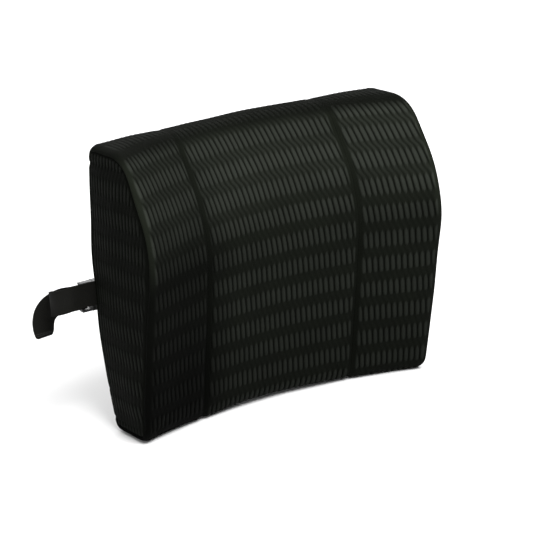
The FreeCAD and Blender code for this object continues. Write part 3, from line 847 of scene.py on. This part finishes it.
def backPanel(name, side, replaced):
    picks = list(range(0, len(columns), 2))
    steps = 112 if side > 0 else 26
    grid = []
    for column in picks:
        edge = rearLoop(columnX[column], slitEdge(columnX[column], side))
        ends = (napeLoop, edge) if side > 0 else (edge, heelLoop)
        grid.append(loopAt(column, np.linspace(*ends, steps)))
    grid = np.array(grid)
    x, z = grid[:, :, 0], grid[:, :, 2]
    lip = np.abs(z - slitEdge(x, side))
    grid[:, :, 1] -= cover["slitDip"] * np.exp(-(lip / 0.0022) ** 2)
    distance = np.minimum(lip, np.abs(np.minimum(z - cushionForm["heelSeam"],
                                                 cushionForm["height"] - cushionForm["napeSeam"] - z)))
    end = lengths[-1] - np.abs(lengths[picks])[:, None]
    mask = smoothStep(distance, 0.006, 0.009) * smoothStep(end, 0.018, 0.021)
    data = np.stack([x, z, mask * 0.75], 2)
    piece = shellPanel(name, grid, data, mask * 0.3, mask * 0)
    runTree(piece, cells, {"Material": materials["back"], "Rib rise": 0.0005, "Gap sink": 0.0006,
                           "Lean": 0.0, "Cell pitch": cover["cellPitch"] * 1.25})
    settle(piece, "cushion", replaced)
    print(f"{name}: {len(piece.data.polygons)} faces")


backPanel("coverBackUpper", 1, ["cover_back_upper"])
backPanel("coverBackLower", -1, ["cover_back_lower"])


# foam block and its liner

filling = {"linerInset": 0.0062, "linerThick": 0.0007, "foamInset": 0.0074, "spacing": 0.006,
           "baseSteps": 16, "frontSteps": 54, "edgeSteps": 6}


def fillingForm(name, inset):
    return closedForm(name, formColumns(filling["spacing"], filling["edgeSteps"]), filling["baseSteps"],
                      filling["frontSteps"], inset)[0]


def joined(name, parts):
    # several pieces as one mesh
    points, faces = [], []
    for part in parts:
        first = len(points)
        points += [tuple(v.co) for v in part.data.vertices]
        faces += [tuple(i + first for i in face.vertices) for face in part.data.polygons]
        bpy.data.objects.remove(part)
    return newPiece(name, points, faces)


foam = fillingForm("foamBlock", filling["foamInset"])
foam.data.materials.append(materials["foam"])
settle(foam, "cushion", ["foam_core"])

linerWall = fillingForm("linerWall", filling["linerInset"] + filling["linerThick"])
linerWall.data.flip_normals()
liner = joined("foamLinerBag", [fillingForm("linerFace", filling["linerInset"]), linerWall])
liner.data.materials.append(materials["liner"])
settle(liner, "cushion", ["foam_liner"])
print("foam and liner made")


# rows of small rounded bodies: stitches and zip coil turns

def grainTree():
    tree, at = newTree("rowOfGrains", {"Width": 0.0006, "Thickness": 0.0004, "Length": 0.003,
                                       "Material": None})
    shape = at["Geometry"]
    grain = shape.add("GeometryNodeMeshUVSphere", {}, {"Segments": 8, "Rings": 5, "Radius": 0.5})
    turn = shape.add("GeometryNodeInputNamedAttribute", {"data_type": "FLOAT_VECTOR"}, {"Name": "turn"})
    size = shape.add("ShaderNodeCombineXYZ", {}, {0: at["Width"], 1: at["Thickness"], 2: at["Length"]})
    placed = shape.add("GeometryNodeInstanceOnPoints", {},
                       {"Points": shape, "Instance": grain, "Rotation": turn, "Scale": size})
    return endTree(tree, placed, at["Material"])


grains = grainTree()


def grainRow(name, spots, sizes, material):
    # spots are (place, along, outward)
    piece = newPiece(name, [place for place, _, _ in spots], [])
    turns = []
    for _, along, outward in spots:
        axis = Vector(along).normalized()
        out = (Vector(outward) - axis * Vector(outward).dot(axis)).normalized()
        turns.append(tuple(Matrix((out.cross(axis), out, axis)).transposed().to_euler()))
    setAttribute(piece, "turn", turns)
    width, thickness, length = sizes
    runTree(piece, grains, {"Width": width, "Thickness": thickness, "Length": length, "Material": material})
    piece.data.polygons.foreach_set("use_smooth", [True] * len(piece.data.polygons))
    return piece


def stitchSpots(path, outwards, pitch):
    # evenly spaced stitches along a polyline
    path, outwards = np.array(path, float), np.array(outwards, float)
    along = np.concatenate([[0], np.cumsum(np.linalg.norm(np.diff(path, axis=0), axis=1))])
    count = max(1, int(along[-1] / pitch))
    spots = []
    for index in range(count):
        at = (index + 0.5) * along[-1] / count
        place, before, after, out = [[np.interp(at + shift, along, data[:, k]) for k in range(3)]
                                     for shift, data in ((0, path), (-0.0004, path), (0.0004, path),
                                                         (0, outwards))]
        spots.append((place, np.subtract(after, before), out))
    return spots


thread = {"width": 0.00055, "thickness": 0.0004, "pitch": 0.0030, "length": 0.0025}
threadSizes = (thread["width"], thread["thickness"], thread["length"])


# zip

def onRearArc(angle, out, z):
    radius = zipForm["radius"] + out
    return (radius * math.sin(angle), zipForm["axisY"] + radius * math.cos(angle), z)


def rearOutward(angle):
    return (math.sin(angle), math.cos(angle), 0)


def arcBand(name, section, angles, material):
    # a closed (out, z) section swept along the rear arc, with closed ends
    points = [onRearArc(angle, out, z) for angle in angles for out, z in section]
    piece = newPiece(name, points, tubeFaces(len(angles), len(section)))
    piece.data.materials.append(material)
    return piece


def ovalSection(out, z, halfOut, halfZ, corners=12, square=0.5):
    section = []
    for index in range(corners):
        turn = 2 * math.pi * index / corners
        c, s = math.cos(turn), math.sin(turn)
        section.append((out + halfOut * math.copysign(abs(c) ** square, c),
                        z + halfZ * math.copysign(abs(s) ** square, s)))
    return section


slitHalfAngle = zipForm["slitEnd"] / zipForm["radius"] + 0.0006


def makeZip():
    form = zipForm
    tapeAngles = np.linspace(-slitHalfAngle, slitHalfAngle, 90)
    teeth = int(2 * form["halfAngle"] * form["radius"] / form["toothPitch"])
    toothAngles = np.linspace(-form["halfAngle"], form["halfAngle"], teeth)
    coreAngles = np.linspace(-form["halfAngle"], form["halfAngle"], 70)
    tapeOut = -form["tapeSunk"] - form["tapeThick"] / 2
    for name, side in (("Upper", 1), ("Lower", -1)):
        node = name.lower()
        section = ovalSection(tapeOut, form["height"] + side * form["tapeAside"], form["tapeThick"] / 2,
                              form["tapeHalf"], square=0.3)
        tape = arcBand(f"zipTape{name}", section, tapeAngles, materials["tape"])
        settle(tape, "cushion", [f"zip_tape_{node}"])
        spots = []
        for angle in toothAngles:
            shifted = angle + side * 0.25 * form["toothPitch"] / form["radius"]
            place = onRearArc(shifted, -form["toothSunk"], form["height"] + side * form["toothAside"])
            spots.append((place, (0, 0, 1), rearOutward(shifted)))
        coil = grainRow(f"coilTurns{name}", spots, form["toothSize"], materials["coil"])
        section = ovalSection(-form["coreSunk"], form["height"] + side * form["coreAside"],
                              form["coreHalf"], form["coreHalf"], corners=8, square=1)
        core = arcBand(f"coilCore{name}", section, coreAngles, materials["coil"])
        for piece in (coil, core):
            settle(piece, "cushion", [f"zip_chain_{node}"])
        edge = []
        for offset in form["stitchRows"]:
            path, outs = [], []
            for x in np.linspace(-form["slitEnd"], form["slitEnd"], 80):
                index = np.abs(columnX - x).argmin()
                place = rearLoop(columnX[index], form["height"] + side * offset)
                path.append(loopAt(index, np.array([place]))[0] + (0, 0.0001, 0))
                outs.append(rearOutward(x / form["radius"]))
            edge += stitchSpots(path, outs, thread["pitch"])
        stitches = grainRow(f"slitStitches{name}", edge, threadSizes, materials["thread"])
        settle(stitches, "cushion")


makeZip()


softening = {"weld": 0.000002, "flatAngle": 2, "edgeAngle": 28, "sharpAngle": 35}


def softenedCopy(node, name, width, material):
    # a copy of a CAD node with its edges rounded over
    piece = bpy.data.objects.new(name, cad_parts[node].data.copy())
    bpy.context.scene.collection.objects.link(piece)
    work = bmesh.new()
    work.from_mesh(piece.data)
    bmesh.ops.remove_doubles(work, verts=work.verts, dist=softening["weld"])
    bmesh.ops.dissolve_limit(work, angle_limit=math.radians(softening["flatAngle"]), verts=work.verts,
                             edges=work.edges)
    work.to_mesh(piece.data)
    work.free()
    bevel = piece.modifiers.new("edges", "BEVEL")
    bevel.width, bevel.segments, bevel.limit_method = width, 2, "ANGLE"
    bevel.angle_limit = math.radians(softening["edgeAngle"])
    bevel.use_clamp_overlap, bevel.harden_normals = True, False
    graph = bpy.context.evaluated_depsgraph_get()
    made = bpy.data.meshes.new_from_object(piece.evaluated_get(graph), depsgraph=graph)
    piece.modifiers.clear()
    piece.data = made
    piece.data.materials.clear()
    piece.data.materials.append(material)
    piece.data.polygons.foreach_set("use_smooth", [True] * len(piece.data.polygons))
    piece.data.set_sharp_from_angle(angle=math.radians(softening["sharpAngle"]))
    return piece


for node, name, body, edge in (  # a CAD node, its softened copy, the body it rides on, its edge's width
        ("zip_slider", "zipSliderBody", "zip_slider_body", 0.00022),
        ("zip_pull", "zipPullTab", "zip_pull_tab", 0.0003),
        ("zip_stop_closed_end", "closedEndStop", "cushion", 0.0003),
        ("zip_stop_open_end", "openEndStop", "cushion", 0.0003)):
    settle(softenedCopy(node, name, edge, materials["metal"]), body, [node])
print("zip made")


# care label

labelForm = {"low": 0.035, "high": 0.057, "out": 0.0010, "thick": 0.0003, "wave": 0.0003}


def makeLabel():
    low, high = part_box("care_label")
    xs = np.linspace(low.x, high.x, 22)
    zs = np.linspace(labelForm["low"], labelForm["high"], 18)
    grid = []
    for x in xs:
        index = np.abs(columnX - x).argmin()
        wall = [loopAt(index, np.array([rearLoop(columnX[index], z)]))[0][1] for z in zs]
        lift = labelForm["wave"] * np.sin((x - low.x) / (high.x - low.x) * math.pi * 2.2) ** 2
        grid.append([(x, y + labelForm["out"] + lift, z) for y, z in zip(wall, zs)])
    grid = np.array(grid)
    under = grid - (0, labelForm["thick"], 0)
    count, tall = grid.shape[:2]
    points = np.concatenate([grid.reshape(-1, 3), under.reshape(-1, 3)])
    top = np.arange(count * tall).reshape(count, tall)
    bottom = top + count * tall
    faces = gridFaces(top, turned=True) + gridFaces(bottom)
    rim = list(zip(top[:, 0], bottom[:, 0])) + list(zip(top[-1, 1:], bottom[-1, 1:]))
    rim += list(zip(top[-2::-1, -1], bottom[-2::-1, -1])) + list(zip(top[0, -2:0:-1], bottom[0, -2:0:-1]))
    for (a, b), (c, d) in zip(rim, rim[1:] + rim[:1]):
        faces.append((int(a), int(c), int(d), int(b)))
    label = newPiece("blankLabel", points, faces)
    label.data.materials.append(materials["label"])
    settle(label, "cushion", ["care_label"])
    spots = []
    for j in (1, tall - 2):
        spots += stitchSpots(grid[:, j] + (0, 0.0002, 0), np.tile((0, 1, 0), (count, 1)), 0.0024)
    stitches = grainRow("labelStitches", spots, threadSizes, materials["label"])
    settle(stitches, "cushion")


makeLabel()
print("label made")


# straps

strap = {
    "width": 0.025, "thick": 0.0015, "edgeBead": 0.00022, "stepLength": 0.0022,
    "frontY": 0.0128, "anchorX": 0.154, "wrapRadius": 0.0166, "loopRadius": 0.00275,
    "leftWrapX": 0.198, "rightWrapX": 0.172, "height": 0.146, "slack": 0.0005,
    "leftBarX": -0.1705, "rightBarX": -0.1245, "leftReturn": 0.012, "rightReturn": 0.030,
    "boxHalf": 0.0095, "boxRun": (0.011, 0.027),    # the sewn box on the returned end
    "endRound": 0.010, "hemHalf": 0.0105, "hemPitch": 0.0019, "hemSize": (0.0006, 0.0004, 0.0017),
}
# the free tail: centre and the way its width points
tailStations = [
    ((-0.1940, 0.0520, 0.1340), (-0.06, 0.02, 1.00)),
    ((-0.2030, 0.0530, 0.1310), (-0.15, 0.06, 0.98)),
    ((-0.2090, 0.0540, 0.1265), (-0.32, 0.10, 0.93)),
    ((-0.2130, 0.0540, 0.1215), (-0.60, 0.12, 0.78)),
    ((-0.2155, 0.0530, 0.1160), (-0.86, 0.05, 0.50)),
    ((-0.2165, 0.0520, 0.1105), (-0.97, -0.08, 0.22)),
    ((-0.2168, 0.0510, 0.1050), (-0.98, -0.16, 0.05)),
    ((-0.2167, 0.0505, 0.1005), (-0.98, -0.19, 0.00)),
]


def walk(start, heading, moves):
    # a plan route of runs (length,) and turns (radius, degrees), with the travel at each point
    x, y = start
    route, travel = [(x, y)], [0.0]
    for move in moves:
        if len(move) == 1:
            steps = max(2, round(move[0] / strap["stepLength"]))
            for _ in range(steps):
                x += math.cos(heading) * move[0] / steps
                y += math.sin(heading) * move[0] / steps
                route.append((x, y))
                travel.append(travel[-1] + move[0] / steps)
        else:
            radius, turn = move[0], math.radians(move[1])
            steps = max(8, round(abs(turn) / math.radians(7)))
            side = math.copysign(1, turn)
            cx, cy = x - math.sin(heading) * radius * side, y + math.cos(heading) * radius * side
            for _ in range(steps):
                heading += turn / steps
                x, y = cx + math.sin(heading) * radius * side, cy - math.cos(heading) * radius * side
                route.append((x, y))
                travel.append(travel[-1] + abs(turn) / steps * radius)
    return np.array(route), np.array(travel)


def smoothed(stations, perStep):
    # a smooth line through stations, each a row of numbers
    data = np.array(stations, float)
    data = np.concatenate([[2 * data[0] - data[1]], data, [2 * data[-1] - data[-2]]])
    rows = []
    for i in range(1, len(data) - 2):
        for share in np.arange(perStep) / perStep:
            a, b, c, d = data[i - 1:i + 3]
            rows.append(0.5 * (2 * b + (c - a) * share + (2 * a - 5 * b + 4 * c - d) * share ** 2
                               + (3 * b - a - 3 * c + d) * share ** 3))
    return np.array(rows + [data[-2]])


def strapSection():
    # the outline of webbing, slightly thicker along both edges
    half, thick = strap["width"] / 2, strap["thick"] / 2
    bead = thick + strap["edgeBead"]
    side = [(-half, 0), (-half + 0.0002, bead * 0.7), (-half + 0.0007, bead), (-half + 0.0013, bead),
            (-half + 0.0019, thick * 0.86)]
    flat = [(place, thick * 0.97) for place in np.linspace(-half + 0.003, half - 0.003, 9)]
    face = side + flat + [(-across, out) for across, out in side[::-1]]
    return face + [(across, -out) for across, out in face[-2:0:-1]]


def ribbon(name, centres, widths, endRound):
    # webbing along centres; widths point across it
    centres, widths = np.array(centres), np.array(widths)
    tangents = np.gradient(centres, axis=0)
    tangents /= np.linalg.norm(tangents, axis=1, keepdims=True)
    widths = widths - tangents * (widths * tangents).sum(1, keepdims=True)
    widths /= np.linalg.norm(widths, axis=1, keepdims=True)
    outs = np.cross(tangents, widths)
    along = np.concatenate([[0], np.cumsum(np.linalg.norm(np.diff(centres, axis=0), axis=1))])
    section = strapSection()
    points, cloth = [], []
    for index in range(len(centres)):
        left = along[-1] - along[index]
        narrow = 1.0
        if endRound and left < endRound:
            narrow = 0.68 + 0.32 * math.sqrt(max(0.0, 1 - (1 - left / endRound) ** 2))
        wave = 0.00025 * math.sin(along[index] * 95) + 0.0002 * math.sin(along[index] * 210 + 1)
        for across, out in section:
            cup = wave * (1 - (across / strap["width"] * 2) ** 2)
            points.append(centres[index] + widths[index] * across * narrow + outs[index] * (out + cup))
            cloth.append((across, along[index], abs(across) / strap["width"] * 2))
    piece = newPiece(name, points, tubeFaces(len(centres), len(section)))
    setAttribute(piece, "cloth", cloth)
    piece.data.materials.append(materials["webbing"])
    work = bmesh.new()
    work.from_mesh(piece.data)
    bmesh.ops.recalc_face_normals(work, faces=work.faces)
    work.to_mesh(piece.data)
    work.free()
    return piece, centres, widths, outs


def strapRun(side, wrapX, barX, endZ, returned):
    # out of the seam, round the chair's upright, along the rear and back round the buckle's bar
    reach = wrapX - strap["anchorX"]
    route, travel = walk((side * strap["anchorX"], strap["frontY"]), 0.0 if side > 0 else math.pi,
                         [(reach,), (strap["wrapRadius"], side * 180), (wrapX - side * barX,)])
    turnEnd = reach + strap["wrapRadius"] * math.pi
    dropStart, dropEnd = (turnEnd, travel[-1]) if side > 0 else (reach, turnEnd)
    heights = np.interp(travel, (0, dropStart, dropEnd, travel[-1]),
                        (strap["height"], strap["height"], endZ, endZ))
    loop, _ = walk(tuple(route[-1]), math.pi if side > 0 else 0.0,
                   [(strap["loopRadius"], -side * 180), (returned,)])
    plan = np.concatenate([route, loop[1:]])
    return np.column_stack([plan, np.concatenate([heights, np.full(len(loop) - 1, endZ)])])


def makeStraps():
    upright = np.array((0.0, 0.0, 1.0))
    rightZ = sum(corner.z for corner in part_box("buckle_female")) / 2
    leftZ = rightZ + strap["slack"]
    centres = strapRun(-1, strap["leftWrapX"], strap["leftBarX"], leftZ, strap["leftReturn"])
    widths = np.tile(upright, (len(centres), 1))
    start = [(*centres[-1], *upright)]
    tail = smoothed(start + [(*centre, *width) for centre, width in tailStations], 6)
    centres = np.concatenate([centres, tail[1:, :3]])
    widths = np.concatenate([widths, tail[1:, 3:]])
    left, centres, widths, outs = ribbon("leftWebbing", centres, widths, strap["endRound"])
    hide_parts("strap_left_webbing")
    hem = []
    last = len(centres) - 1
    for index, out in ((last - 4, 1), (last - 4, -1), (last - 6, 1), (last - 6, -1)):
        line = [centres[index] + widths[index] * across + outs[index] * out * (strap["thick"] / 2 + 0.0001)
                for across in np.linspace(-strap["hemHalf"], strap["hemHalf"], 8)]
        hem += stitchSpots(line, [outs[index] * out] * 8, strap["hemPitch"])
    hemStitches = grainRow("tailHemStitches", hem, strap["hemSize"], materials["thread"])
    for piece in (left, hemStitches):
        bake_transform(piece)

    centres = strapRun(1, strap["rightWrapX"], strap["rightBarX"], rightZ, strap["rightReturn"])
    right = ribbon("rightWebbing", centres, np.tile(upright, (len(centres), 1)), endRound=0)[0]
    settle(right, "cushion", ["strap_right_webbing"])
    # the returned end is sewn down with a box and a cross
    low, high = rightZ - strap["boxHalf"], rightZ + strap["boxHalf"]
    near, far = [strap["rightBarX"] + place for place in strap["boxRun"]]
    y = centres[-1][1] + strap["thick"] / 2 + 0.00012
    corners = [(near, y, low), (far, y, low), (far, y, high), (near, y, high)]
    sides = [(0, 1), (1, 2), (2, 3), (3, 0), (0, 2), (1, 3)]
    spots = []
    for a, b in sides:
        spots += stitchSpots([corners[a], corners[b]], [(0, 1, 0)] * 2, thread["pitch"])
    box = grainRow("strapBoxStitches", spots, threadSizes, materials["thread"])
    settle(box, "cushion")


makeStraps()
print("straps made")


# buckle

buckle = {"edge": 0.0006, "armEdge": 0.0005, "gripRibs": 5, "gripPitch": 0.0017, "gripStart": 0.0095,
          "gripSize": (0.0007, 0.0007, 0.0042), "bars": 3, "barStart": 0.0259, "barPitch": 0.0009,
          "barSize": (0.0007, 0.0007, 0.022)}


def makeBuckle():
    plastic = materials["buckle"]
    low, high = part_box("buckle_female")
    middle = (low + high) / 2
    settle(softenedCopy("buckle_male", "buckleMaleFrame", buckle["edge"], plastic), "buckle_male_half",
           ["buckle_male"])
    settle(softenedCopy("buckle_female", "buckleFemaleHousing", buckle["edge"], plastic), "cushion",
           ["buckle_female"])
    for side, name in ((1, "upper"), (-1, "lower")):
        arm = softenedCopy(f"buckle_arm_{name}", f"{name}Prong", buckle["armEdge"], plastic)
        settle(arm, f"buckle_{name}_arm", [f"buckle_arm_{name}"])
        spots = []
        for index in range(buckle["gripRibs"]):  # finger ribs on the outer edge of each head
            x = low.x + buckle["gripStart"] + index * buckle["gripPitch"]
            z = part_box(f"buckle_arm_{name}")[side > 0].z
            spots.append(((x, middle.y, z - side * 0.0001), (0, 1, 0), (0, 0, side)))
        ribs = grainRow(f"{name}ProngRibs", spots, buckle["gripSize"], plastic)
        settle(ribs, f"buckle_{name}_arm")
    # raised bars across both faces of the housing, just short of the slot for the strap
    spots = []
    for side in (-1, 1):
        for index in range(buckle["bars"]):
            x = low.x + buckle["barStart"] + index * buckle["barPitch"]
            spots.append(((x, middle.y + side * 0.005, middle.z), (0, 0, 1), (0, side, 0)))
    bars = grainRow("housingBars", spots, buckle["barSize"], plastic)
    settle(bars, "cushion")


makeBuckle()
print("buckle made")


# floor, light and camera

studio = {
    "floorSize": 14.0, "floorColor": (0.86, 0.86, 0.86), "world": 0.75, "worldColor": (1.0, 1.0, 1.0),
    "key": ((-0.1, -2.2, 2.9), 170.0, 1.8), "fill": ((0.9, 2.6, 2.0), 60.0, 2.4),
    "aim": (0.0, -0.05, 0.14), "cameraPlace": (-1.13453, -1.94840, 0.79917),
    "cameraTurn": (73.351, 4.226, -32.11), "lens": 148.4, "sensor": 36.0,
}


def floorAndLights():
    half = studio["floorSize"] / 2
    corners = [(-half, -half, 0), (half, -half, 0), (half, half, 0), (-half, half, 0)]
    floor = newPiece("studioFloor", corners, [(0, 1, 2, 3)])
    material, wire, shader = newMaterial("studioPaper", Specular_IOR_Level=0.1)
    blotch = noise(wire, objectPoint(wire), 3.0)
    plug(tinted(wire, studio["floorColor"], 0.99 + blotch * 0.02), shader, "Base Color")
    shader.inputs["Roughness"].default_value = 0.9
    floor.data.materials.append(material)

    world = bpy.data.worlds.new("studioWorld")
    world.use_nodes = True
    background = world.node_tree.nodes["Background"]
    background.inputs["Color"].default_value = (*studio["worldColor"], 1)
    background.inputs["Strength"].default_value = studio["world"]
    bpy.context.scene.world = world
    bpy.context.scene.view_settings.view_transform = "Standard"

    for name in ("key", "fill"):
        place, power, size = studio[name]
        lamp = bpy.data.objects.new(name + "Light", bpy.data.lights.new(name + "Light", "AREA"))
        lamp.data.energy, lamp.data.size = power, size
        lamp.location = place
        lamp.rotation_euler = (Vector(studio["aim"]) - Vector(place)).to_track_quat("-Z", "Y").to_euler()
        bpy.context.scene.collection.objects.link(lamp)


def addCamera():
    camera = bpy.data.objects.new("camera", bpy.data.cameras.new("camera"))
    camera.location = studio["cameraPlace"]
    camera.rotation_euler = [math.radians(angle) for angle in studio["cameraTurn"]]
    camera.data.lens, camera.data.sensor_width = studio["lens"], studio["sensor"]
    bpy.context.scene.collection.objects.link(camera)
    bpy.context.scene.camera = camera


floorAndLights()
addCamera()
print("floor, lights and camera placed")
